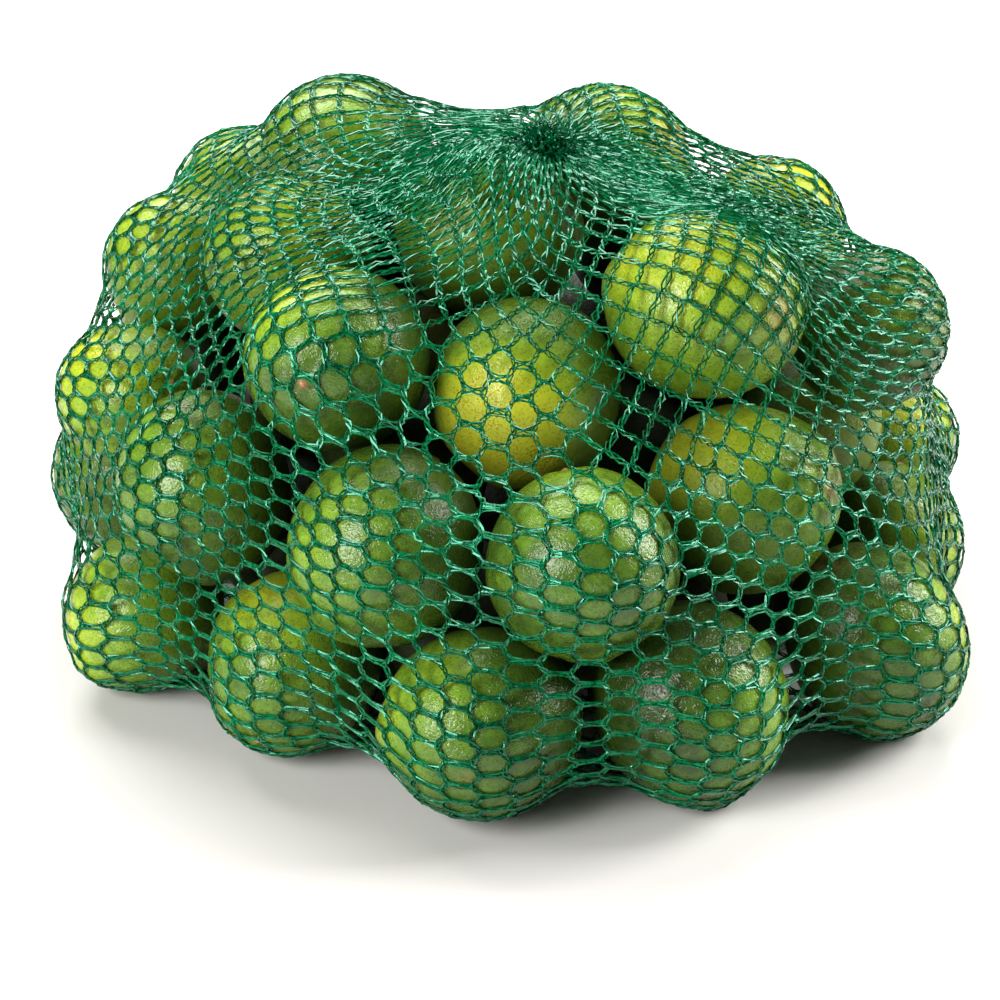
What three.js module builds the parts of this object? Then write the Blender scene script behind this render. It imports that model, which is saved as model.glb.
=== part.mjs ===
import * as THREE from "three";

// A net bag of limes standing on its base: one lumpy solid, the outside of the
// net drawn tight over the fruit and gathered in a knot on top.
// Millimetres, +Z up, the base at z = 0, the front towards -Y.

// One row for each lime: its centre x, y, z; its mean radius; how much longer
// than round it is; the bearing and the height of its stem end in degrees.
const LIMES = [
  [-103.1, -31.2, 23.8, 22.9, 0.04, 39, 36],
  [-58.6, -63.7, 25.1, 24.3, 0.044, -114, -31],
  [-8.2, -96.4, 26.1, 25.2, 0.045, 16, 1],
  [45.3, -87.8, 26.9, 26, 0.035, 124, 64],
  [97.3, -55, 26.6, 25.7, 0.085, 173, 61],
  [-83, -38.3, 65, 24.7, 0.06, 95, 69],
  [-32.7, -74.2, 65, 25.6, 0.035, 44, 46],
  [16.8, -89.7, 67.6, 25, 0.02, 111, 61],
  [61, -48.8, 65.9, 26.2, 0.045, -30, 20],
  [109.9, 7, 24.3, 23.4, 0.047, 67, 64],
  [113.6, 50.8, 36.6, 23.4, 0.053, 13, 16],
  [-115.7, 29.7, 36, 23.2, 0.059, 110, 59],
  [-108.1, 5.7, 72, 21.9, 0.028, -46, 27],
  [-45.8, -45.6, 105, 25, 0.05, -106, 7],
  [2.9, -43.4, 94.4, 25.4, 0.015, 62, 56],
  [49.2, -38.9, 117.3, 26, 0.05, -4, -14],
  [81.1, 8, 61.9, 25.1, 0.055, 18, 36],
  [96.6, -13, 99.7, 22, 0.039, 60, 48],
  [-6.1, -6.7, 126.2, 25.2, 0.023, 6, -8],
  [-97.1, 37.8, 98.4, 22.3, 0.037, 28, 50],
  [-61.1, -1.8, 115.2, 23.7, 0.026, -160, 64],
  [-48.2, 41.7, 129.7, 25.2, 0.028, 7, 13],
  [-82.5, 78.2, 106.8, 22.5, 0.029, 23, 46],
  [25.5, 29.5, 131.5, 24.4, 0.075, -5, 4],
  [74.8, 38.7, 108, 22.8, 0.028, 102, 81],
  [73.1, 31.4, 23.3, 22.4, 0.048, -49, -21],
  [-13.1, -47.4, 26.7, 25.8, 0.06, 176, 17],
  [34.9, -39.9, 25.5, 24.6, 0.021, 31, 21],
  [-50, -20.1, 22.8, 21.9, 0.033, -54, 21],
  [36.3, 6.6, 24.6, 23.7, 0.054, 169, -8],
  [-10.4, 1.5, 25.9, 25, 0.022, -178, 38],
  [-68.3, 19.1, 23.9, 23, 0.052, -10, 39],
  [19.8, 49.2, 24.5, 23.6, 0.032, 29, -8],
  [-27.7, 44.5, 24, 23.1, 0.029, 55, -36],
  [-87.3, 64.4, 25.4, 24.5, 0.058, -11, -65],
  [55.9, 77.3, 24.6, 23.7, 0.05, 156, 43],
  [-0.9, 95.8, 25.6, 24.7, 0.03, -103, 10],
  [-46.2, 85.5, 24.3, 23.4, 0.046, -41, -12],
  [-30.5, -20.4, 62.7, 24.1, 0.026, 15, -25],
  [6.4, 26.7, 63.2, 24.9, 0.051, -95, -74],
  [-58.1, 47.5, 54.4, 21.5, 0.034, -17, -35],
  [65.2, 52.2, 61.6, 23.6, 0.03, 112, -8],
  [26, 78, 61, 25.1, 0.045, 22, 56],
  [-21.3, 71.4, 60.7, 24.5, 0.044, -108, 41],
  [26.3, -15.7, 64.1, 23.6, 0.042, -142, 30],
  [-10.6, 49.8, 101.2, 24.4, 0.034, -128, 23],
  [37.4, 57.4, 99.3, 21.5, 0.057, 89, -25],
  [-35.9, 21, 77.8, 21.9, 0.059, -146, 17],
];

const NET = 0.9; // how far the net's yarn stands off the fruit
const MIDDLE = [0, 0, 62]; // the point the net is drawn in towards
const KNOT = [8.6, 2.4, 148.5]; // where the net is gathered
const NECK_RADIUS = 4.2; // the gathered net just under the knot
const TUFT = [ // radius and height over the knot of the cut ends, upwards
  [3.4, 1.6],
  [4.7, 4.2],
  [3.2, 6.2],
];

const COLUMNS = 96; // points round the bag
const BASE_ROWS = 9; // rows of points out over the base,
const SIDE_ROWS = 19; // up the side,
const TOP_ROWS = 13; // and in over the top to the knot
const BASE_RADIUS = 112;
const SHOULDER_RADIUS = 92;
const SHOULDER_HEIGHT = 118;
const DEPTH = 0.9; // the bag's depth as a share of its width
const PASSES = 700; // steps of drawing the net tight
const FLAT = 2.2; // net nearer than this to the floor lies on it

const RAD = Math.PI / 180;
const dot = (a, b) => a[0] * b[0] + a[1] * b[1] + a[2] * b[2];
const sub = (a, b) => [a[0] - b[0], a[1] - b[1], a[2] - b[2]];

const fruit = LIMES.map(([x, y, z, r, e, bearing, height]) => ({
  from: sub(MIDDLE, [x, y, z]),
  axis: [
    Math.cos(bearing * RAD) * Math.cos(height * RAD),
    Math.sin(bearing * RAD) * Math.cos(height * RAD),
    Math.sin(height * RAD),
  ],
  long: r * (1 + e) + NET,
  wide: r * (1 - e / 2) + NET,
}));

// How far out of the middle the outermost lime reaches in a direction, or 0.
function reach(way) {
  let far = 0;
  for (const f of fruit) {
    const k = 1 / (f.long * f.long) - 1 / (f.wide * f.wide);
    const m = 1 / (f.wide * f.wide);
    const [da, fa] = [dot(way, f.axis), dot(f.from, f.axis)];
    const a = m + k * da * da;
    const b = m * dot(way, f.from) + k * da * fa;
    const c = m * dot(f.from, f.from) + k * fa * fa - 1;
    const q = b * b - a * c;
    if (q > 0) far = Math.max(far, (Math.sqrt(q) - b) / a);
  }
  return far;
}

// A row's plain place on the bag: radius from the axis and height.
function plainRow(j) {
  if (j <= BASE_ROWS) return [(BASE_RADIUS * j) / BASE_ROWS, 0];
  j -= BASE_ROWS;
  if (j <= SIDE_ROWS) {
    const t = j / SIDE_ROWS;
    const bulge = Math.sin(Math.PI * t) * 0.16;
    return [
      (BASE_RADIUS + (SHOULDER_RADIUS - BASE_RADIUS) * t) * (1 + bulge),
      SHOULDER_HEIGHT * t,
    ];
  }
  const t = (j - SIDE_ROWS) / TOP_ROWS;
  return [
    SHOULDER_RADIUS + (NECK_RADIUS - SHOULDER_RADIUS) * t,
    SHOULDER_HEIGHT + (KNOT[2] - SHOULDER_HEIGHT) * Math.sin((Math.PI / 2) * t),
  ];
}

const ROWS = BASE_ROWS + SIDE_ROWS + TOP_ROWS;

// The direction of point i of row j out of the middle.
function direction(j, i) {
  const [radius, height] = plainRow(j);
  const a = (2 * Math.PI * i) / COLUMNS;
  const lean = Math.pow(j / ROWS, 3);
  const squash = j === ROWS ? 1 : DEPTH;
  const p = [
    KNOT[0] * lean + radius * Math.cos(a),
    KNOT[1] * lean + radius * Math.sin(a) * squash,
    height,
  ];
  const d = sub(p, MIDDLE);
  const l = Math.sqrt(dot(d, d));
  return d.map((v) => v / l);
}

// The weights that carry a plane through a point's four neighbours to the point.
function planeWeights(d, near) {
  const w = near.map((n) => 1 / dot(sub(n, d), sub(n, d)));
  const m = [0, 0, 0, 0, 0, 0];
  near.forEach((n, k) => {
    m[0] += w[k] * n[0] * n[0];
    m[1] += w[k] * n[1] * n[1];
    m[2] += w[k] * n[2] * n[2];
    m[3] += w[k] * n[0] * n[1];
    m[4] += w[k] * n[0] * n[2];
    m[5] += w[k] * n[1] * n[2];
  });
  const [xx, yy, zz, xy, xz, yz] = m;
  const c = [
    [yy * zz - yz * yz, xz * yz - xy * zz, xy * yz - xz * yy],
    [xz * yz - xy * zz, xx * zz - xz * xz, xy * xz - xx * yz],
    [xy * yz - xz * yy, xy * xz - xx * yz, xx * yy - xy * xy],
  ];
  const det = xx * c[0][0] + xy * c[0][1] + xz * c[0][2];
  const g = c.map((row) => dot(row, d) / det);
  return near.map((n, k) => w[k] * dot(g, n));
}

// Draws the net tight: it starts in the hollows between the limes and is pulled
// flat over them, never under the floor. One over the distance from the middle
// is kept for each point, because that is even over a flat stretch of net.
function drawTight() {
  const ways = [];
  for (let j = 0; j <= ROWS; j++)
    for (let i = 0; i < COLUMNS; i++) ways.push(direction(j, i));
  const at = (j, i) => j * COLUMNS + ((i + COLUMNS) % COLUMNS);
  const floorOf = (d) => Math.max(1e-6, -d[2] / MIDDLE[2]);
  const neck = ways.map((d, k) =>
    k < ROWS * COLUMNS ? 0 : d[2] / (KNOT[2] - MIDDLE[2]),
  );
  const limit = ways.map((d) => 1 / Math.max(30, reach(d)));
  const inverse = limit.map((v, k) => (neck[k] ? neck[k] : Math.max(v, floorOf(ways[k]))));
  const links = [];
  for (let j = 1; j < ROWS; j++)
    for (let i = 0; i < COLUMNS; i++) {
      const k = at(j, i);
      const near = [at(j, i - 1), at(j, i + 1), at(j - 1, i), at(j + 1, i)];
      links.push([k, near, planeWeights(ways[k], near.map((n) => ways[n]))]);
    }
  for (let pass = 0; pass < PASSES; pass++)
    for (const [k, near, w] of links) {
      let v = 0;
      for (let n = 0; n < 4; n++) v += w[n] * inverse[near[n]];
      inverse[k] = Math.max(floorOf(ways[k]), Math.min(limit[k], v));
    }
  return ways.map((d, k) => {
    const p = d.map((v, c) => MIDDLE[c] + v / inverse[k]);
    if (p[2] >= FLAT) return p;
    return d.map((v, c) => (c < 2 ? MIDDLE[c] - (v * MIDDLE[2]) / d[2] : 0));
  });
}

function bagGeometry() {
  const n = COLUMNS;
  const net = drawTight();
  const points = [[0, 0, 0], ...net.slice(n)];
  for (const [radius, height] of TUFT)
    for (let i = 0; i < n; i++) {
      const a = (2 * Math.PI * i) / n;
      points.push([
        KNOT[0] + radius * Math.cos(a),
        KNOT[1] + radius * Math.sin(a),
        KNOT[2] + height,
      ]);
    }
  points.push([KNOT[0], KNOT[1], KNOT[2] + TUFT[TUFT.length - 1][1] + 0.6]);
  const last = ROWS + TUFT.length;
  const top = points.length - 1;
  const ring = (j, i) => 1 + (j - 1) * n + (i % n);
  const index = [];
  for (let i = 0; i < n; i++) {
    index.push(0, ring(1, i + 1), ring(1, i));
    for (let j = 1; j < last; j++) {
      const [a, b, c, d] = [ring(j, i), ring(j, i + 1), ring(j + 1, i + 1), ring(j + 1, i)];
      index.push(a, b, c, a, c, d);
    }
    index.push(ring(last, i), ring(last, i + 1), top);
  }
  const g = new THREE.BufferGeometry();
  g.setAttribute("position", new THREE.Float32BufferAttribute(points.flat(), 3));
  g.setIndex(index);
  g.computeVertexNormals();
  return g;
}

const bag = new THREE.Mesh(
  bagGeometry(),
  new THREE.MeshStandardMaterial({ color: 0x3f7d3a, roughness: 0.5, metalness: 0 }),
);
bag.name = "lime_bag";

const part = new THREE.Group();
part.name = "lime_net_bag";
part.add(bag);
export default part;
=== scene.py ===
import math
import bpy
import numpy as np
from mathutils.bvhtree import BVHTree
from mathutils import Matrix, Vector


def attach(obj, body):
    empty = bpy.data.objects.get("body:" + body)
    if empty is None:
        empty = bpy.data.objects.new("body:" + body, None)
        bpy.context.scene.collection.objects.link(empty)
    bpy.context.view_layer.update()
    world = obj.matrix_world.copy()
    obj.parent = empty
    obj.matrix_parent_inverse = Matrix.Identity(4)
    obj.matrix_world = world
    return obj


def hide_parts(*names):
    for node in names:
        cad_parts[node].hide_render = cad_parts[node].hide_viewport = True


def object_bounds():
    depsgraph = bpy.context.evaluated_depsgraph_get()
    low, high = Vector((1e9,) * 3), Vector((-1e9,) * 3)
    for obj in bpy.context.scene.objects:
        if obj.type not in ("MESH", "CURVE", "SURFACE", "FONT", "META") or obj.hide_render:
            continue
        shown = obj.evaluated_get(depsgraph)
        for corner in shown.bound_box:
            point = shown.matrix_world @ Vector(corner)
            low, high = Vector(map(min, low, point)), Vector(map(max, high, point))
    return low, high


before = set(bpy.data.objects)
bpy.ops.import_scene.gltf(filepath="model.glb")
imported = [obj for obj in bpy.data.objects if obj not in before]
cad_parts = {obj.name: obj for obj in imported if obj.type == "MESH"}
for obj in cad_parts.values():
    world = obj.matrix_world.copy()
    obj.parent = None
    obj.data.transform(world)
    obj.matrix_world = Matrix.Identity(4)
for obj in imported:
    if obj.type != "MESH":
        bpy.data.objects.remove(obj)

cad_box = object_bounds()
rng = np.random.default_rng(20)
MM = 0.001

# ---------------------------------------------------------------- the fruit
# One row for each lime, in millimetres: centre x, y, z; mean radius; how much
# longer than round it is; bearing and height of its stem end in degrees.
LIMES = np.array([
    [-103.10, -31.20, 23.80, 22.90, 0.040, 39, 36],
    [-58.60, -63.70, 25.10, 24.30, 0.044, -114, -31],
    [-8.20, -96.40, 26.10, 25.20, 0.045, 16, 1],
    [45.30, -87.80, 26.90, 26.00, 0.035, 124, 64],
    [97.30, -55.00, 26.60, 25.70, 0.085, 173, 61],
    [-83.00, -38.30, 65.00, 24.70, 0.060, 95, 69],
    [-32.70, -74.20, 65.00, 25.60, 0.035, 44, 46],
    [16.80, -89.70, 67.60, 25.00, 0.020, 111, 61],
    [61.00, -48.80, 65.90, 26.20, 0.045, -30, 20],
    [109.90, 7.00, 24.30, 23.40, 0.047, 67, 64],
    [113.60, 50.80, 36.60, 23.40, 0.053, 13, 16],
    [-115.70, 29.70, 36.00, 23.20, 0.059, 110, 59],
    [-108.10, 5.70, 72.00, 21.90, 0.028, -46, 27],
    [-45.80, -45.60, 105.00, 25.00, 0.050, -106, 7],
    [2.90, -43.40, 94.40, 25.40, 0.015, 62, 56],
    [49.20, -38.90, 117.30, 26.00, 0.050, -4, -14],
    [81.10, 8.00, 61.90, 25.10, 0.055, 18, 36],
    [96.60, -13.00, 99.70, 22.00, 0.039, 60, 48],
    [-6.10, -6.70, 126.20, 25.20, 0.023, 6, -8],
    [-97.10, 37.80, 98.40, 22.30, 0.037, 28, 50],
    [-61.10, -1.80, 115.20, 23.70, 0.026, -160, 64],
    [-48.20, 41.70, 129.70, 25.20, 0.028, 7, 13],
    [-82.00, 77.60, 106.30, 22.50, 0.029, 23, 46],
    [25.50, 29.50, 131.50, 24.40, 0.075, -5, 4],
    [74.80, 38.70, 108.00, 22.80, 0.028, 102, 81],
    [73.10, 31.40, 23.30, 22.40, 0.048, -49, -21],
    [-13.10, -47.40, 26.70, 25.80, 0.060, 176, 17],
    [34.90, -39.90, 25.50, 24.60, 0.021, 31, 21],
    [-50.00, -20.10, 22.80, 21.90, 0.033, -54, 21],
    [36.30, 6.60, 24.60, 23.70, 0.054, 169, -8],
    [-10.40, 1.50, 25.90, 25.00, 0.022, -178, 38],
    [-68.30, 19.10, 23.90, 23.00, 0.052, -10, 39],
    [19.80, 49.20, 24.50, 23.60, 0.032, 29, -8],
    [-27.70, 44.50, 24.00, 23.10, 0.029, 55, -36],
    [-87.30, 64.40, 25.40, 24.50, 0.058, -11, -65],
    [55.90, 77.30, 24.60, 23.70, 0.050, 156, 43],
    [-0.90, 95.80, 25.60, 24.70, 0.030, -103, 10],
    [-46.20, 85.50, 24.30, 23.40, 0.046, -41, -12],
    [-30.50, -20.40, 62.70, 24.10, 0.026, 15, -25],
    [6.40, 26.70, 63.20, 24.90, 0.051, -95, -74],
    [-58.10, 47.50, 54.40, 21.50, 0.034, -17, -35],
    [65.20, 52.20, 61.60, 23.60, 0.030, 112, -8],
    [26.00, 78.00, 61.00, 25.10, 0.045, 22, 56],
    [-21.30, 71.40, 60.70, 24.50, 0.044, -108, 41],
    [26.30, -15.70, 64.10, 23.60, 0.042, -142, 30],
    [-10.60, 49.80, 101.20, 24.40, 0.034, -128, 23],
    [37.40, 57.40, 99.30, 21.50, 0.057, 89, -25],
    [-35.90, 21.00, 77.80, 21.90, 0.059, -146, 17],
    [72.40, -17.70, 24.60, 20.20, 0.030, 153, -31],
    [-89.50, 60.50, 67.50, 16.50, 0.035, -178, -59],
    [-48.40, 63.70, 92.40, 19.20, 0.030, -173, -20],
    [49.00, 4.50, 96.30, 22.90, 0.025, 113, 38],
    [-84.10, -3.10, 47.60, 16.40, 0.030, -158, 13],
], dtype=float)
SHOWN = 25      # the first rows are the fruit that show from the front

# How ripe each front fruit is, from 0 deep green to 1 yellow, and where its
# ripest side is: right, up and towards the front, with its strength.
RIPE = [
    (0.44, -0.9, 0.1, 0.4, 0.30), (0.32, -0.1, 0.9, 0.4, 0.46),
    (0.18, -0.7, 0.5, 0.5, 0.36), (0.05, 0.88, -0.1, 0.45, 0.40),
    (0.15, 0.9, 0.3, 0.2, 0.50), (0.26, -0.5, 0.4, 0.8, 0.14),
    (0.24, -0.7, 0.2, 0.5, 0.24), (0.21, 0.0, 0.85, 0.4, 0.28),
    (0.42, -0.6, 0.6, 0.5, 0.46), (0.34, 0.6, 0.2, 0.6, 0.25),
    (0.46, 0.1, 0.6, 0.7, 0.45), (0.26, -0.5, 0.5, 0.5, 0.20),
    (0.52, -0.6, 0.6, 0.5, 0.30), (0.21, -0.55, 0.75, 0.3, 0.55),
    (0.42, -0.30, -0.45, 0.84, 0.68), (0.52, -0.4, 0.5, 0.7, 0.28),
    (0.46, 0.5, 0.4, 0.6, 0.25), (0.18, 0.5, 0.4, 0.6, 0.18),
    (0.32, -0.3, 0.2, 0.8, 0.22), (0.48, -0.3, 0.7, 0.5, 0.25),
    (0.48, 0.3, 0.5, 0.6, 0.25), (0.32, -0.3, 0.5, 0.6, 0.25),
    (0.40, -0.6, 0.5, 0.4, 0.30), (0.40, 0.3, 0.4, 0.6, 0.25),
    (0.58, 0.4, 0.6, 0.4, 0.30),
]
# Dry tan patches of the rind: which fruit, right, up, front, size, strength.
SCARS = [
    (15, 0.66, -0.14, 0.72, 0.20, 0.75), (15, 0.80, -0.42, 0.42, 0.14, 0.55),
    (23, 0.80, 0.35, 0.45, 0.30, 0.65), (4, -0.48, 0.81, 0.33, 0.22, 0.60),
    (8, 0.81, 0.11, 0.57, 0.16, 0.55), (24, -0.03, 0.95, 0.30, 0.26, 0.60),
    (20, -0.41, 0.74, 0.53, 0.24, 0.55), (2, -0.10, -0.50, 0.85, 0.10, 0.30),
]

# ---------------------------------------------------------------- the net
NET = 0.9                       # how far the net's outside stands off the fruit
YARN_IN = 0.45                  # the yarn's middle, inside the net's outside
CLING = 3.4                     # yarns nearer to the fruit than this are drawn on to it
MIDDLE = np.array([0.0, 0.0, 62.0])
KNOT = np.array([8.6, 2.4, 148.5])
NECK = 6.5                      # radius of the gathered net at the knot
WALES = 104                     # yarns that run from the base to the knot
HALF_ROWS = 106                 # half meshes along a yarn, the last of them inside the knot
BASE_ROWS = 8                   # whole meshes of it that lie under the base
PIT = 9                         # points of each yarn's way down inside the knot
BASE_RADIUS, SHOULDER_RADIUS, SHOULDER_HEIGHT, DEPTH = 112.0, 92.0, 118.0, 0.9

# ---------------------------------------------------------------- camera
ELEVATION = math.radians(26.0)
LOOK_AT = np.array([-3.63, -50.38, 66.4])
DISTANCE = 620.0
FOCAL_PX = 2346.0
FORWARD = np.array([0.0, math.cos(ELEVATION), -math.sin(ELEVATION)])
RIGHT = np.array([1.0, 0.0, 0.0])
UP = np.cross(RIGHT, FORWARD)

cam_data = bpy.data.cameras.new("camera")
cam_data.sensor_fit = "HORIZONTAL"
cam_data.sensor_width = 36.0
cam_data.lens = 36.0 * FOCAL_PX / 1000.0
cam_data.clip_start = 0.01
cam_data.clip_end = 50.0
cam = bpy.data.objects.new("camera", cam_data)
cam.location = (LOOK_AT - DISTANCE * FORWARD) * MM
cam.rotation_euler = (math.pi / 2 - ELEVATION, 0.0, 0.0)
bpy.context.collection.objects.link(cam)
bpy.context.scene.camera = cam


def seen(right, up, front):
    """A direction given as seen from the front, in the row's frame."""
    v = right * RIGHT + up * UP - front * FORWARD
    return v / np.linalg.norm(v)


# ---------------------------------------------------------------- meshes
def make_object(name, verts, faces, uv=None, colours=None, rounded=True):
    """A mesh object; verts in millimetres, faces a list of index arrays."""
    me = bpy.data.meshes.new(name)
    verts = np.ascontiguousarray(verts * MM, dtype=np.float32)
    loops = np.concatenate([f.ravel() for f in faces]).astype(np.int32)
    sizes = np.concatenate([np.full(len(f), f.shape[1]) for f in faces])
    me.vertices.add(len(verts))
    me.vertices.foreach_set("co", verts.ravel())
    me.loops.add(len(loops))
    me.loops.foreach_set("vertex_index", loops)
    me.polygons.add(len(sizes))
    me.polygons.foreach_set("loop_start", (np.cumsum(sizes) - sizes).astype(np.int32))
    me.update(calc_edges=True)
    me.polygons.foreach_set("use_smooth", np.full(len(sizes), rounded))
    if uv is not None:
        layer = me.uv_layers.new(name="OFBake")
        layer.data.foreach_set("uv", np.ascontiguousarray(np.concatenate(uv), dtype=np.float32).ravel())
    if colours is not None:
        for key, values in colours.items():
            a = me.attributes.new(key, "FLOAT_COLOR", "POINT")
            a.data.foreach_set("color", np.ascontiguousarray(values, dtype=np.float32).ravel())
    me.validate(clean_customdata=False)
    o = bpy.data.objects.new(name, me)
    bpy.context.collection.objects.link(o)
    return o


def unit(v):
    return v / np.maximum(np.linalg.norm(v, axis=-1, keepdims=True), 1e-12)


def smooth(x):
    x = np.clip(x, 0, 1)
    return x * x * (3 - 2 * x)


def tubes(paths, out, radius, sides=3, flat=1.0, twist=None):
    """Closed yarns along paths (M, n, 3): vertices, faces and a UV place for each loop.

    out (M, n, 3) is the side of each yarn that faces outwards; radius is a
    number or an (M, n) array. flat makes a tape of it, twist turns the tape as it
    runs. Each yarn takes its own strip of the UV square.
    """
    m, n, _ = paths.shape
    tangent = np.empty_like(paths)
    tangent[:, 1:-1] = paths[:, 2:] - paths[:, :-2]
    tangent[:, 0] = paths[:, 1] - paths[:, 0]
    tangent[:, -1] = paths[:, -1] - paths[:, -2]
    tangent = unit(tangent)
    side = unit(np.cross(tangent, out))
    up = np.cross(side, tangent)
    if twist is not None:
        ct, st = np.cos(twist)[..., None], np.sin(twist)[..., None]
        side, up = ct * side + st * up, ct * up - st * side
    r = np.broadcast_to(np.asarray(radius, dtype=float), (m, n))
    a = np.arange(sides) * 2 * np.pi / sides + np.pi / 2
    ring = (flat * np.cos(a)[:, None] * side[:, :, None, :] + np.sin(a)[:, None] / flat * up[:, :, None, :])
    verts = (paths[:, :, None, :] + r[:, :, None, None] * ring).reshape(-1, 3)
    i, j, s = np.meshgrid(np.arange(m), np.arange(n - 1), np.arange(sides), indexing="ij")
    s2 = (s + 1) % sides
    base = (i * n + j) * sides
    quads = np.stack([base + s, base + s2, base + sides + s2, base + sides + s], -1).reshape(-1, 4)
    cols = max(1, int(round(math.sqrt(m * 6.0 / n)))) if n < 12 else 1
    rows = int(math.ceil(m / cols))
    cu, cv = (i % cols), (i // cols)
    u0 = (cu + 0.02 + 0.96 * j / (n - 1)) / cols
    u1 = (cu + 0.02 + 0.96 * (j + 1) / (n - 1)) / cols
    v0 = (cv + 0.06 + 0.88 * s / sides) / rows
    v1 = (cv + 0.06 + 0.88 * (s + 1) / sides) / rows
    uv = np.stack([np.stack([u0, v0], -1), np.stack([u0, v1], -1),
                   np.stack([u1, v1], -1), np.stack([u1, v0], -1)], -2).reshape(-1, 2)
    # the two ends
    first = (np.arange(m) * n * sides)[:, None]
    ends = np.concatenate([first + np.arange(sides)[::-1], first + (n - 1) * sides + np.arange(sides)])
    w = np.arange(m)
    eu = np.concatenate([(w % cols + 0.02) / cols, (w % cols + 0.98) / cols])[:, None] + 0 * np.arange(sides)
    ev = (np.tile(w // cols, 2)[:, None] + 0.06 + 0.88 * np.arange(sides) / sides) / rows
    return verts, [quads, ends], [uv, np.stack([eu, ev], -1).reshape(-1, 2)]


def join(parts):
    """Several (verts, faces, uv) as one; their UV squares are laid side by side."""
    verts, faces, uvs, n = [], [], [], 0
    for k, (v, f, u) in enumerate(parts):
        verts.append(v)
        faces += [x + n for x in f]
        uvs += [x * np.array([1.0, 1.0 / len(parts)]) + np.array([0.0, k / len(parts)]) for x in u]
        n += len(v)
    return np.concatenate(verts), faces, uvs


# ---------------------------------------------------------------- limes
def lime_axes(row):
    b, h = np.radians(row[5]), np.radians(row[6])
    a = np.array([np.cos(b) * np.cos(h), np.sin(b) * np.cos(h), np.sin(h)])
    ref = np.array([0.0, 0.0, 1.0]) if abs(a[2]) < 0.8 else np.array([1.0, 0.0, 0.0])
    e = unit(np.cross(a, ref))
    return a, e, np.cross(a, e)


def globe(segments, rings):
    """A ball's faces and UV places: rings between two poles, the poles last."""
    j, i = np.meshgrid(np.arange(rings - 1), np.arange(segments), indexing="ij")
    i2 = (i + 1) % segments
    quads = np.stack([j * segments + i, (j + 1) * segments + i,
                      (j + 1) * segments + i2, j * segments + i2], -1).reshape(-1, 4)
    w = np.arange(segments)
    w2 = (w + 1) % segments
    top, low = rings * segments, rings * segments + 1
    fan = np.concatenate([np.stack([0 * w + top, w, w2], -1),
                          np.stack([0 * w + low, (rings - 1) * segments + w2, (rings - 1) * segments + w], -1)])
    at = lambda x, y: np.stack([x / segments, y / (rings + 1.0)], -1)
    uvq = np.stack([at(i, j + 1), at(i, j + 2), at(i + 1, j + 2), at(i + 1, j + 1)], -2).reshape(-1, 2)
    uvf = np.concatenate([np.stack([at(w + 0.5, 0 * w), at(w, 0 * w + 1), at(w + 1, 0 * w + 1)], -2).reshape(-1, 2),
                          np.stack([at(w + 0.5, 0 * w + rings + 1), at(w + 1, 0 * w + rings), at(w, 0 * w + rings)],
                                   -2).reshape(-1, 2)])
    return quads, fan, uvq, uvf


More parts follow.
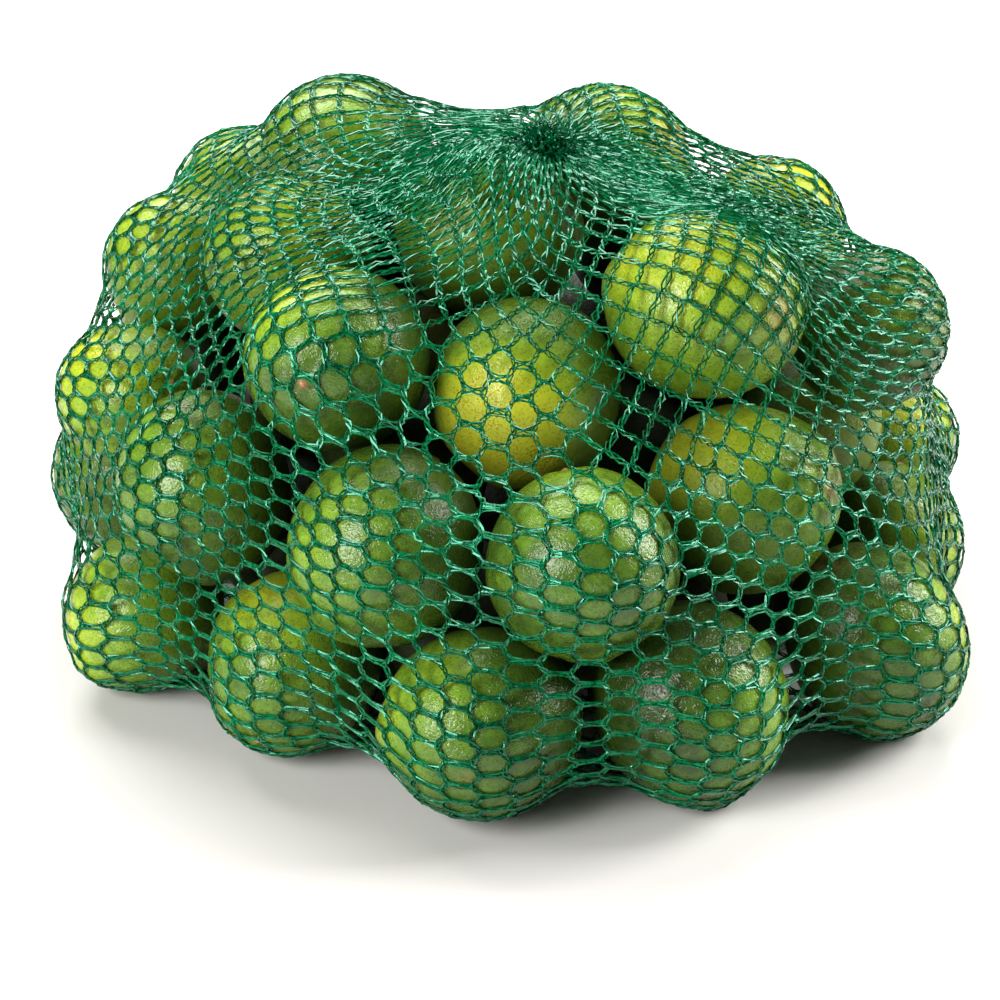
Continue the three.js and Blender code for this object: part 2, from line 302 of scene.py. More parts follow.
def build_limes(which):
    """The limes of these rows as one mesh, with their colours and the painted shade deep between them."""
    verts, faces, uvs, tint, total, ends_shown = [], [], [], [], 0, 0
    tiles = int(math.ceil(math.sqrt(len(which))))
    for place, k in enumerate(which):
        row = LIMES[k]
        segments, rings = (56, 39) if k < SHOWN else (34, 23)
        t = np.linspace(0, 1, rings + 2)
        polar = (np.pi * (t - 0.11 * np.sin(2 * np.pi * t)))     # closer rings at both ends
        P, A = np.meshgrid(polar[1:-1], np.arange(segments) * 2 * np.pi / segments, indexing="ij")
        P = np.concatenate([P.ravel(), [0.0, np.pi]])
        A = np.concatenate([A.ravel(), [0.0, 0.0]])
        a, e, f = lime_axes(row)
        r, el = row[3], row[4]
        round_ = (np.sin(P) * np.cos(A))[:, None] * e + (np.sin(P) * np.sin(A))[:, None] * f
        d = np.cos(P)[:, None] * a + round_
        p = r * (1 + el) * np.cos(P)[:, None] * a + r * (1 - el / 2) * round_
        # uneven growth: broad swellings and a slightly wavy rind
        swell = np.zeros(P.shape)
        for _ in range(5):
            w = rng.normal(size=3) * 1.7
            swell += 0.26 * np.sin(d @ w + rng.uniform(0, 6.28))
        for _ in range(12):
            w = unit(rng.normal(size=3)) * rng.uniform(11, 19)
            swell += 0.032 * np.sin(d @ w + rng.uniform(0, 6.28))
        swell -= swell.max() - 0.25
        p = p + d * swell[:, None]
        tip = np.pi - P                                          # angle from the blossom end
        nip, wide = rng.uniform(1.0, 2.2), rng.uniform(0.20, 0.27)
        end = nip * np.exp(-(tip / wide) ** 2) - 0.35 * np.exp(-((tip - 0.46) / 0.13) ** 2)
        p = p - a * end[:, None]
        knob = rng.uniform(0.042, 0.066) if k != 13 else 0.040
        stem = -0.8 * np.exp(-(P / 0.19) ** 2) + 0.9 / (1 + np.exp((P - 0.9 * knob) / 0.010))
        ribs = 0.22 * np.cos(5 * A + k) * np.exp(-((P - 0.2) / 0.12) ** 2)
        p = p + a * (stem + ribs)[:, None]
        quads, fan, uvq, uvf = globe(segments, rings)
        verts.append(p + row[:3])
        faces += [quads + total, fan + total]
        total += len(p)
        ends_shown = total if k < SHOWN else ends_shown
        tile = np.array([place % tiles, place // tiles])
        uvs += [(x * 0.97 + 0.015 + tile) / tiles for x in (uvq, uvf)]
        # ripeness, dry patches and the stem end
        if k < SHOWN:
            ripe0, x, y, z, strong = RIPE[k]
            ripe = ripe0 + strong * np.clip((d @ seen(x, y, z) - 0.35) / 0.6, 0, 1) ** 1.3
        else:
            ripe = rng.uniform(0.2, 0.62) + 0.4 * np.clip((d @ unit(rng.normal(size=3)) - 0.3) / 0.6, 0, 1)
        ripe = ripe + 0.10 * np.exp(-(tip / 0.5) ** 2)
        dry = 0.35 * np.exp(-(tip / 0.10) ** 2)
        for on, x, y, z, size, strong in SCARS:
            if on == k:
                off = np.arccos(np.clip(d @ seen(x, y, z), -1, 1))
                dry = np.maximum(dry, strong * np.exp(-(off / size) ** 2))
        button = 1 / (1 + np.exp((P - knob) / 0.010))
        tint.append(np.stack([ripe, dry, button, 0 * P], -1))
    verts, tint = np.concatenate(verts), np.concatenate(tint)
    # painted shade: the rind is drawn rougher and painted darker where it lies deep between its neighbours, standing in
    # for the shade in the crevices
    verts[:, 2] = np.maximum(verts[:, 2], 0.9)
    depth = depth_below(verts)
    tint[:, 3] = np.where(np.arange(total) < ends_shown, 0.50 * smooth((depth - 5.0) / 20.0),
                          0.93 * smooth((depth - 2.5) / 15.0))
    return verts, faces, uvs, tint


def depth_below(points):
    """How far each point lies inside the drawn net, in millimetres."""
    rows, columns = surface.shape[:2]
    j, i = np.meshgrid(np.arange(rows - 1), np.arange(columns), indexing="ij")
    quads = np.stack([j * columns + i, j * columns + (i + 1) % columns,
                      (j + 1) * columns + (i + 1) % columns, (j + 1) * columns + i], -1).reshape(-1, 4)
    skin = BVHTree.FromPolygons(surface.reshape(-1, 3).tolist(), quads.tolist())
    return np.array([skin.find_nearest(q)[3] for q in points])


def off_fruit(points, least, cling=CLING):
    """Points moved out to at least this far off the fruit; near ones cling to it."""
    flat = points.reshape(-1, 3).copy()
    for i, q in enumerate(flat):
        at, normal, _, _ = fruit.find_nearest(q)
        gap = (q[0] - at[0]) * normal[0] + (q[1] - at[1]) * normal[1] + (q[2] - at[2]) * normal[2]
        if gap < least + cling:
            to = least + max(0.0, gap - least) ** 2 / cling
            flat[i] = (q[0] + normal[0] * (to - gap), q[1] + normal[1] * (to - gap), q[2] + normal[2] * (to - gap))
    return flat.reshape(points.shape)


# ---------------------------------------------------------------- net surface
def plain_rows(base, side, top):
    t = np.arange(base + 1) / base
    rows = [np.stack([BASE_RADIUS * t, 0 * t], -1)]
    t = np.arange(1, side + 1) / side
    rows.append(np.stack([(BASE_RADIUS + (SHOULDER_RADIUS - BASE_RADIUS) * t) * (1 + 0.16 * np.sin(np.pi * t)),
                          SHOULDER_HEIGHT * t], -1))
    t = np.arange(1, top + 1) / top
    rows.append(np.stack([SHOULDER_RADIUS + (NECK - SHOULDER_RADIUS) * t,
                          SHOULDER_HEIGHT + (KNOT[2] - SHOULDER_HEIGHT) * np.sin(np.pi / 2 * t)], -1))
    return np.concatenate(rows)


def ways_of(rows, columns):
    n = len(rows) - 1
    a = np.arange(columns) * 2 * np.pi / columns
    lean = (np.arange(n + 1) / n)[:, None] ** 3
    squash = np.full((n + 1, 1), DEPTH)
    squash[-8:] = np.linspace(DEPTH, 1, 8)[:, None]
    p = np.stack([KNOT[0] * lean + rows[:, :1] * np.cos(a),
                  KNOT[1] * lean + rows[:, :1] * np.sin(a) * squash,
                  np.repeat(rows[:, 1:], columns, 1)], -1) - MIDDLE
    p[0] += np.stack([0.5 * np.cos(a), 0.5 * np.sin(a), 0 * a], -1)
    return unit(p)


def reach(ways):
    """How far the outermost fruit reaches out of the middle in each direction."""
    far = np.zeros(ways.shape[:-1])
    for row in LIMES:
        a, _, _ = lime_axes(row)
        long, wide = row[3] * (1 + row[4]) + NET, row[3] * (1 - row[4] / 2) + NET
        m, k = 1 / wide ** 2, 1 / long ** 2 - 1 / wide ** 2
        frm = MIDDLE - row[:3]
        da, fa = ways @ a, frm @ a
        qa = m + k * da * da
        qb = m * (ways @ frm) + k * da * fa
        qc = m * (frm @ frm) + k * fa * fa - 1
        q = qb * qb - qa * qc
        far = np.maximum(far, np.where(q > 0, (np.sqrt(np.maximum(q, 0)) - qb) / qa, 0))
    return far


def tight_net(base, side, top, columns, passes, start=None):
    """The net drawn tight over the fruit: one over the distance from MIDDLE."""
    ways = ways_of(plain_rows(base, side, top), columns)
    floor = np.maximum(1e-6, -ways[..., 2] / MIDDLE[2])
    limit = 1 / np.maximum(30, reach(ways))
    inv = np.maximum(limit, floor) if start is None else np.maximum(np.minimum(limit, start), floor)
    inv[-1] = ways[-1, :, 2] / (KNOT[2] - MIDDLE[2])
    inv[0] = floor[0]
    near = np.stack([np.roll(ways, 1, 1)[1:-1], np.roll(ways, -1, 1)[1:-1], ways[:-2], ways[2:]], 2)
    d = ways[1:-1]
    w = 1 / ((near - d[:, :, None]) ** 2).sum(-1)
    m = np.einsum("jik,jika,jikb->jiab", w, near, near)
    g = np.linalg.solve(m, d[..., None])[..., 0]
    w = w * np.einsum("jia,jika->jik", g, near)
    w0, w1, w2, w3 = (np.ascontiguousarray(w[..., k]) for k in range(4))
    lim, flo = limit[1:-1], floor[1:-1]
    for _ in range(passes):
        c = inv[1:-1]
        new = w2 * inv[:-2] + w3 * inv[2:]
        new += w0 * np.roll(c, 1, 1)
        new += w1 * np.roll(c, -1, 1)
        inv[1:-1] = np.maximum(flo, np.minimum(lim, new))
    return ways, inv


def finer(inv, rows, columns):
    """A coarse field carried to a finer grid."""
    r0, c0 = inv.shape
    y = np.linspace(0, r0 - 1, rows)
    y0 = np.minimum(y.astype(int), r0 - 2)
    fy = (y - y0)[:, None]
    a = inv[y0] * (1 - fy) + inv[y0 + 1] * fy
    x = np.arange(columns) * c0 / columns
    x0 = x.astype(int)
    fx = x - x0
    return a[:, x0 % c0] * (1 - fx) + a[:, (x0 + 1) % c0] * fx


def net_surface():
    _, inv = tight_net(10, 22, 16, 108, 600)
    _, inv = tight_net(20, 44, 32, 216, 300, finer(inv, 97, 216))
    ways, inv = tight_net(40, 88, 64, 432, 220, finer(inv, 193, 432))
    return MIDDLE + ways / inv[..., None]


def waves(n, m, cycles_i, cycles_k, terms, seed):
    """A smooth uneven field over (yarn, row), about -1 to 1, closed round the bag."""
    g = np.random.default_rng(seed)
    i = np.arange(n)[:, None] * 2 * np.pi / n
    k = np.arange(m)[None] * 2 * np.pi / m
    f = np.zeros((n, m))
    for _ in range(terms):
        f += np.cos(g.integers(1, cycles_i + 1) * i * g.choice([-1, 1]) + g.uniform(0.3, cycles_k) * k + g.uniform(0, 6.28))
    return f / math.sqrt(terms / 2) / 2


def net_nodes():
    """Where the yarns cross their ties: (WALES, HALF_ROWS + 1, 3), and the outward side."""
    rows, columns = surface.shape[:2]
    ring = surface[80]
    bearing = np.arctan2(ring[:, 1], ring[:, 0])
    # the mesh is pulled widest across the front and closes up towards both sides
    front = np.angle(np.exp(1j * (bearing + np.pi / 2)))
    pull = 1.0 - 0.08 * np.exp(-(front / 0.75) ** 2) + 0.22 * np.exp(-((front - 1.65) / 0.30) ** 2)
    step = np.linalg.norm(np.roll(ring, -1, 0) - ring, axis=-1) * pull
    s = np.concatenate([[0], np.cumsum(step)])
    even = np.interp(np.arange(WALES) / WALES * s[-1], s, np.arange(columns + 1))
    # each yarn wanders a little to either side, and gathers into pleats near the knot
    wander = 1.0 * waves(WALES, rows, 14, 5, 14, 3) + 0.4 * waves(WALES, rows, 40, 14, 10, 4)
    up = np.arange(rows) / (rows - 1)
    fade = np.sin(np.pi * up) ** 0.5
    pleat = 1.3 * waves(WALES, rows, 15, 1.0, 16, 5) * smooth((up - 0.66) / 0.25)
    col = even[:, None] + (wander + pleat) * fade
    # how close the yarns lie round the bag: open over the middle of the front, and
    # folded together on either side of the neck, which leaves the back of it open
    turn = np.radians(np.linspace(-180, 180, 721))
    lump = lambda at, wide: np.exp(-((turn - np.radians(at)) / np.radians(wide)) ** 2)
    plain = np.angle(np.exp(1j * (even / columns * 2 * np.pi + np.pi / 2)))

    def moved(close):
        total = np.cumsum(close)
        total = (total - total[0]) / (total[-1] - total[0]) * 2 * np.pi - np.pi
        to = np.interp(plain, total, turn) - plain - np.interp(0.0, total, turn)
        return to[:, None] / (2 * np.pi) * columns - 2.0

    half = moved(1.0 - 0.22 * lump(0, 22) + 0.20 * lump(36, 15) + 0.10 * lump(-34, 15) + 0.55 * lump(64, 13)
                 - 0.3 * lump(180, 60) - 0.3 * lump(-180, 60))
    neck = moved(0.45 + 0.55 * lump(0, 45) + 0.40 * lump(-55, 25) + 1.8 * lump(64, 14))
    rise = smooth((up - 0.66) / 0.22)
    col = col + half * smooth((up - 0.45) / 0.2) * (1 - rise) + neck * rise
    c0 = np.floor(col).astype(int)
    fc = (col - c0)[..., None]
    r = np.arange(rows)[None]
    lines = surface[r, c0 % columns] * (1 - fc) + surface[r, (c0 + 1) % columns] * fc
    # the gathered end: every yarn turns in at the knot and dives into it
    a = np.arctan2(lines[:, -1, 1] - KNOT[1], lines[:, -1, 0] - KNOT[0])
    t = np.arange(1, PIT + 1)[None] / PIT
    bend = a[:, None] + 0.9 * t ** 2
    neck = 1.0 + (NECK - 1.0) * (1 - t) ** 1.3 + 0 * bend
    dive = np.stack([KNOT[0] + neck * np.cos(bend), KNOT[1] + neck * np.sin(bend),
                     KNOT[2] + 1.2 * np.sin(np.pi * np.minimum(1, 1.6 * t)) - 9.5 * t ** 2 + 0 * bend], -1)
    lines = np.concatenate([lines, dive], 1)
    # rows: long over the upper front and the back of the neck, short round the sides
    m = HALF_ROWS + 1
    mid = 0.5 * (lines[:, 1:, 2] + lines[:, :-1, 2])
    phi = np.degrees(np.angle(np.exp(1j * (np.arctan2(lines[:, 1:, 1], lines[:, 1:, 0]) + np.pi / 2))))
    middle = smooth((72 - np.abs(phi)) / 30)
    tall = 6.2 + 3.4 * smooth((mid - 72 + 0.25 * phi) / 32)
    mesh = 6.5 + (tall - 6.5) * middle + 3.6 * smooth((np.abs(phi) - 92) / 25) * smooth((mid - 94) / 25)
    mesh += 3.0 * smooth((phi - 34) / 16) * smooth((80 - phi) / 16) * smooth((mid - 48) / 20) * smooth((116 - mid) / 16)
    length = np.linalg.norm(np.diff(lines, axis=1), axis=-1)
    low = 36                                                 # rows of the surface under the base
    count = length / mesh
    count[:, :low] *= BASE_ROWS / count[:, :low].sum(1, keepdims=True)
    # what is left over is drawn down into the knot
    count[:, -PIT:] = 0.0
    left = 0.5 * HALF_ROWS - count.sum(1)
    inside = length[:, -PIT:]
    count[:, -PIT:] = inside / inside.sum(1, keepdims=True) * np.maximum(left, 0.5)[:, None]
    under = 2 * BASE_ROWS - 1
    s = np.concatenate([np.zeros((WALES, 1)), np.cumsum(count, 1)], 1)
    near = np.exp(-(np.arange(-18, 19) / 7.0) ** 2)
    s = sum(w * np.roll(s, d, 0) for w, d in zip(near / near.sum(), range(-18, 19)))
    t = np.linspace(0, 1, m)
    share = np.clip(t + 0.003 * waves(WALES, m, 12, 5, 12, 6) * np.sin(np.pi * t), 0, 1)
    nodes = np.empty((WALES, m, 3))
    for i in range(WALES):
        for c in range(3):
            nodes[i, :, c] = np.interp(share[i] * s[i, -1], s[i], lines[i, :, c])
    across = np.roll(nodes, -1, 0) - np.roll(nodes, 1, 0)
    out = unit(np.cross(across, np.gradient(nodes, axis=1)))
    return nodes, out, under


# ---------------------------------------------------------------- knitted yarns
def read_line(points, where):
    """Points (n, m, 3) read at the fractional places of where, rounded but not fully."""
    m = points.shape[1]
    j = np.clip(np.floor(where).astype(int), 0, m - 2)
    t = (where - j)[None, :, None]
    p0, p1 = points[:, np.maximum(j - 1, 0)], points[:, j]
    p2, p3 = points[:, j + 1], points[:, np.minimum(j + 2, m - 1)]
    straight = p1 + (p2 - p1) * t
    rounded = 0.5 * (2 * p1 + (p2 - p0) * t + (2 * p0 - 5 * p1 + 4 * p2 - p3) * t ** 2
                     + (3 * p1 - p0 - 3 * p2 + p3) * t ** 3)
    return 0.3 * straight + 0.7 * rounded


def knit():
    nodes, out, under = net_nodes()
    m = HALF_ROWS + 1
    i = np.arange(WALES)[:, None]
    k = np.arange(m)[None]
    even = ((i + k) % 2 == 0)[..., None]
    right, left = np.roll(nodes, -1, 0) - nodes, np.roll(nodes, 1, 0) - nodes
    pitch = 0.5 * (np.linalg.norm(right, axis=-1) + np.linalg.norm(left, axis=-1))
    tall = 2 * np.linalg.norm(np.gradient(nodes, axis=1), axis=-1)
    shut = smooth((tall / np.maximum(pitch, 0.1) - 1.40) / 0.6)
    zig = (0.13 + 0.32 * shut * (0.35 + 0.65 * smooth((pitch - 1.0) / 1.8)))[..., None]
    deep = nodes[..., 2] > 100
    deep &= np.hypot(nodes[..., 0] - KNOT[0], nodes[..., 1] - KNOT[1]) < NECK + 0.5
    pitch = np.where(deep, np.minimum(pitch, 0.4), pitch)
    nodes = nodes + np.where(even, zig * right, zig * left)
    # where the yarns crowd they lie in layers, one over another
    layer = ((i * 0.618034) % 1.0) + 0 * k
    crowd = np.clip(0.85 * (1.15 / np.maximum(pitch, 0.2) - 1.0), 0, 2.6)
    nodes = nodes - out * (YARN_IN + crowd * layer)[..., None]
    return nodes, out, pitch, tall, shut, under


def places(m, under):
    """Where a yarn is read: three times a half mesh where it shows, once under the base."""
    shown = under + np.arange(0, (m - 1 - under) * 3 + 1) / 3.0
    return np.concatenate([np.arange(0, under), shown])


def build_net():
    nodes, out, pitch, tall, shut, under = knit()
    m = nodes.shape[1]
    where = places(m, under)
    line, face = read_line(nodes, where), unit(read_line(out, where))
    line = off_fruit(line, 0.34)
    line[..., 2] = np.maximum(line[..., 2], 0.5)
    tangent = unit(np.gradient(line, axis=1))
    side = unit(np.cross(tangent, face))
    start = rng.uniform(0, 2 * np.pi, (WALES, 1))
    n = len(where)
    wob = 1.1 * waves(WALES, n, 50, 60, 12, 11)
    gap = read_line(pitch[..., None], where)[..., 0]
    close = np.clip(gap / 3.0, 0.34, 1.0)
    # crowded yarns sink at each crossing and arch up between two of them
    arch = 0.30 * smooth((3.0 - gap) / 1.5) * (0.6 - np.cos(2 * np.pi * where))[None]
    calm = np.clip(gap / 3.5, 0.2, 1.0)
    run = np.linalg.norm(np.gradient(line, axis=1), axis=-1)
    phase = np.cumsum(0.88 * np.pi * np.minimum(run / 3.2, 0.55) * calm, 1) + start + wob * calm
    # plies lie further apart where the mesh is drawn tall
    wide = 0.66 * close * (1.0 + 0.30 * read_line(shut[..., None], where)[..., 0] * smooth((gap - 2.0) / 2.0))
    plies = []
    for p in range(3):
        f = phase + 2 * np.pi / 3 * p
        loose = rng.normal(0, 0.10, (WALES, n)) * close ** 2
        path = (line + side * (wide * np.cos(f) + loose)[..., None]
                + face * (0.15 + 0.20 * np.sin(f) + arch + rng.normal(0, 0.05, (WALES, n)))[..., None])
        thick = 0.250 + 0.025 * smooth((2.6 - gap) / 1.4) + 0.02 * np.cos(3 * f) + rng.normal(0, 0.015, (WALES, n))
        path[..., 2] = np.maximum(path[..., 2], 0.46)
        turn = np.cumsum(rng.normal(0.2, 0.45, (WALES, n)) * calm, 1) + start
        plies.append(tubes(path, face, thick, flat=1.25, twist=turn))

    # the ties between neighbouring yarns: small bundles of crossed strands
    i, k = np.meshgrid(np.arange(WALES), np.arange(m), indexing="ij")
    tie = (i + k) % 2 == 0
    bundles = [[], [], []]
    for shown in (False, True):
        pick = tie & (pitch > 1.6) & ((k >= under) if shown else (k < under) & (k > 1))
        a, b = i[pick], k[pick]
        a2 = (a + 1) % WALES
        p, q = nodes[a, b], nodes[a2, b]
        n1, n2 = out[a, b], out[a2, b]
        b0, b1 = np.maximum(b - 1, 0), np.minimum(b + 1, m - 1)
        u1, u2 = unit(nodes[a, b1] - nodes[a, b0]), unit(nodes[a2, b1] - nodes[a2, b0])
        rise1, fall1 = unit(nodes[a, b1] - nodes[a, b]), unit(nodes[a, b] - nodes[a, b0])
        rise2, fall2 = unit(nodes[a2, b1] - nodes[a2, b]), unit(nodes[a2, b] - nodes[a2, b0])
        nm = unit(n1 + n2)
        centre = off_fruit(0.5 * (p + q), 0.30)
        p, q = off_fruit(p, 0.32), off_fruit(q, 0.32)
        open_ = smooth((pitch[a, b] - 2.2) / 2.6)
        span = np.linalg.norm(q - p, axis=-1)
        fan = np.clip(tall[a, b] / 6.6, 0.2, 1.45) * np.clip(span / 3.0, 0.6, 1.0)
        open_ = open_ * smooth((span - 0.6) / 2.0)
        for s in range(6 if shown else 1):
            # six strands in an open tie, three where the mesh is drawn shut
            g = np.flatnonzero((open_ > 0.35) & ((p[:, 1] < 55) | (s < 4))) if s > 2 else np.flatnonzero(pitch[a, b] > (0, 0, 2.3)[s])
            w, count = open_[g][:, None], len(g)
            at = fan[g][:, None] * (w * (1.15, -1.10, 0.85, -0.80, 0.30, -0.25)[s] + (1 - w) * (0.80, -0.80, 0.25, 0, 0, 0)[s])
            to = fan[g][:, None] * (w * (1.05, -1.15, -0.85, 0.90, 0.45, -0.55)[s] + (1 - w) * (-0.75, 0.75, 0.10, 0, 0, 0)[s])
            x = at + rng.normal(0, 0.24, (count, 1)) * fan[g][:, None]
            y = to + rng.normal(0, 0.24, (count, 1)) * fan[g][:, None]
            pg, qg, n1g, n2g, nmg, u1g, u2g = p[g], q[g], n1[g], n2[g], nm[g], u1[g], u2[g]
            # each end lies along the yarn that it holds
            c = pg + np.where(x > 0, rise1[g], fall1[g]) * x + n1g * rng.uniform(-0.10, 0.25, (count, 1))
            e = qg + np.where(y > 0, rise2[g], fall2[g]) * y + n2g * rng.uniform(-0.10, 0.25, (count, 1))
            if shown:
                # outer strands bow in towards the middle of the tie, inner ones cross it
                bow = (0.40 if s < 2 else 1.0) * 0.5 * (x + y) + rng.normal(0, 0.16, (count, 1))
                mid = centre[g] + nmg * rng.uniform(0.0, 0.38, (count, 1)) + unit(u1g + u2g) * bow
                path, face3 = np.stack([c, mid, e], 1), np.stack([n1g, nmg, n2g], 1)
            else:
                path, face3 = np.stack([c, e], 1), np.stack([n1g, n2g], 1)
            r = rng.uniform(0.20, 0.27, (count, 1)) * np.ones((1, path.shape[1])) * (1.0 if shown else 1.4)
            path[..., 2] = np.maximum(path[..., 2], 0.40)
            turn = rng.normal(0, 0.5, (count, 1)) + np.cumsum(rng.normal(0, 0.5, path.shape[:2]), 1)
            bundles[s % 3].append(tubes(path, face3, r, flat=1.3, twist=turn))
    return plies, [join(x) for x in bundles]


def build_tuft():
    """The cut ends of the gathered net, a short bristly tuft standing in the knot."""
    g = np.random.default_rng(8)
    n, q = 480, 11
    a = g.uniform(0, 2 * np.pi, n)
    spread = np.abs(g.normal(0, 0.75, n)).clip(0, 1.35)
    length = g.uniform(5.0, 10.0, n)
    ring = 4.4 * np.sqrt(g.random(n))
    start = np.stack([0.2 + ring * np.cos(a), -2.0 + ring * np.sin(a), g.uniform(-5.5, -1.5, n)], -1) + KNOT
    d = unit(np.stack([np.sin(spread) * np.cos(a) + 0.05, np.sin(spread) * np.sin(a) - 0.30, np.cos(spread)], -1))
    e1 = unit(np.cross(d, unit(g.normal(size=(n, 3)))))
    e2 = np.cross(d, e1)
    t = np.linspace(0, 1, q)[None, :, None]
    # each end curls as it rises, and the outer ones hang over
    curl = g.uniform(0.3, 1.3, (n, 1, 1)) * np.minimum(1, 2.0 * t)
    wind = g.uniform(3.0, 10.0, (n, 1, 1)) * t + g.uniform(0, 6.28, (n, 1, 1))
    path = start[:, None] + d[:, None] * length[:, None, None] * t
    path = path + curl * (np.cos(wind) * e1[:, None] + np.sin(wind) * e2[:, None])
    path[..., 2] -= 2.2 * (np.sin(spread)[:, None] * t[..., 0]) ** 2
    top = cad_top + 1.5 - 2.5 * g.random((n, 1))
    path[..., 2] = np.where(path[..., 2] > top - 1.5, top - 1.5 * np.exp(-(path[..., 2] - top + 1.5) / 1.5), path[..., 2])
    # the roots lie on the fruit under the knot, not in it
    path = off_fruit(path, 0.36, 0.01)
    face = unit(np.cross(unit(np.gradient(path, axis=1)), unit(g.normal(size=(n, 1, 3))) + 0 * path))
    r = g.uniform(0.22, 0.33, (n, 1)) * np.linspace(1.0, 0.8, q)[None]
    return tubes(path, face, r)


cad_top = float(cad_box[1][2]) / MM


# ---------------------------------------------------------------- materials
def tree(name):
    mat = bpy.data.materials.new(name)
    mat.use_nodes = True
    nt = mat.node_tree
    nt.nodes.clear()
    outp = nt.nodes.new("ShaderNodeOutputMaterial")
    bsdf = nt.nodes.new("ShaderNodeBsdfPrincipled")
    nt.links.new(bsdf.outputs["BSDF"], outp.inputs["Surface"])
    return mat, nt, bsdf


def node(nt, kind, **values):
    n = nt.nodes.new(kind)
    for key, v in values.items():
        setattr(n, key, v)
    return n


def link(nt, a, b):
    nt.links.new(a, b)


def ramp(nt, stops, mode="LINEAR"):
    n = nt.nodes.new("ShaderNodeValToRGB")
    n.color_ramp.interpolation = mode
    while len(n.color_ramp.elements) < len(stops):
        n.color_ramp.elements.new(0.5)
    for e, (pos, col) in zip(n.color_ramp.elements, stops):
        e.position = pos
        e.color = (*col, 1.0) if len(col) == 3 else col
    return n


def maths(nt, op, a, b=None, c=None, clamp=False):
    n = nt.nodes.new("ShaderNodeMath")
    n.operation = op
    n.use_clamp = clamp
    for s, v in zip(n.inputs, (a, b, c)):
        if v is None:
            continue
        if isinstance(v, (int, float)):
            s.default_value = v
        else:
            nt.links.new(v, s)
    return n.outputs[0]


def mix(nt, fac, a, b, blend="MIX"):
    n = nt.nodes.new("ShaderNodeMix")
    n.data_type = "RGBA"
    n.blend_type = blend
    for s, v in ((n.inputs[0], fac), (n.inputs[6], a), (n.inputs[7], b)):
        if isinstance(v, (int, float)):
            s.default_value = v
        elif isinstance(v, tuple):
            s.default_value = (*v, 1.0)
        else:
            nt.links.new(v, s)
    return n.outputs[2]


def noise(nt, co, scale, detail=3.0, rough=0.5, distort=0.0):
    n = nt.nodes.new("ShaderNodeTexNoise")
    n.inputs["Scale"].default_value = scale
    n.inputs["Detail"].default_value = detail
    n.inputs["Roughness"].default_value = rough
    n.inputs["Distortion"].default_value = distort
    nt.links.new(co, n.inputs["Vector"])
    return n.outputs["Fac"]


def srgb(r, g, b):
    return tuple(((c / 255 + 0.055) / 1.055) ** 2.4 if c > 10 else c / 255 / 12.92 for c in (r, g, b))


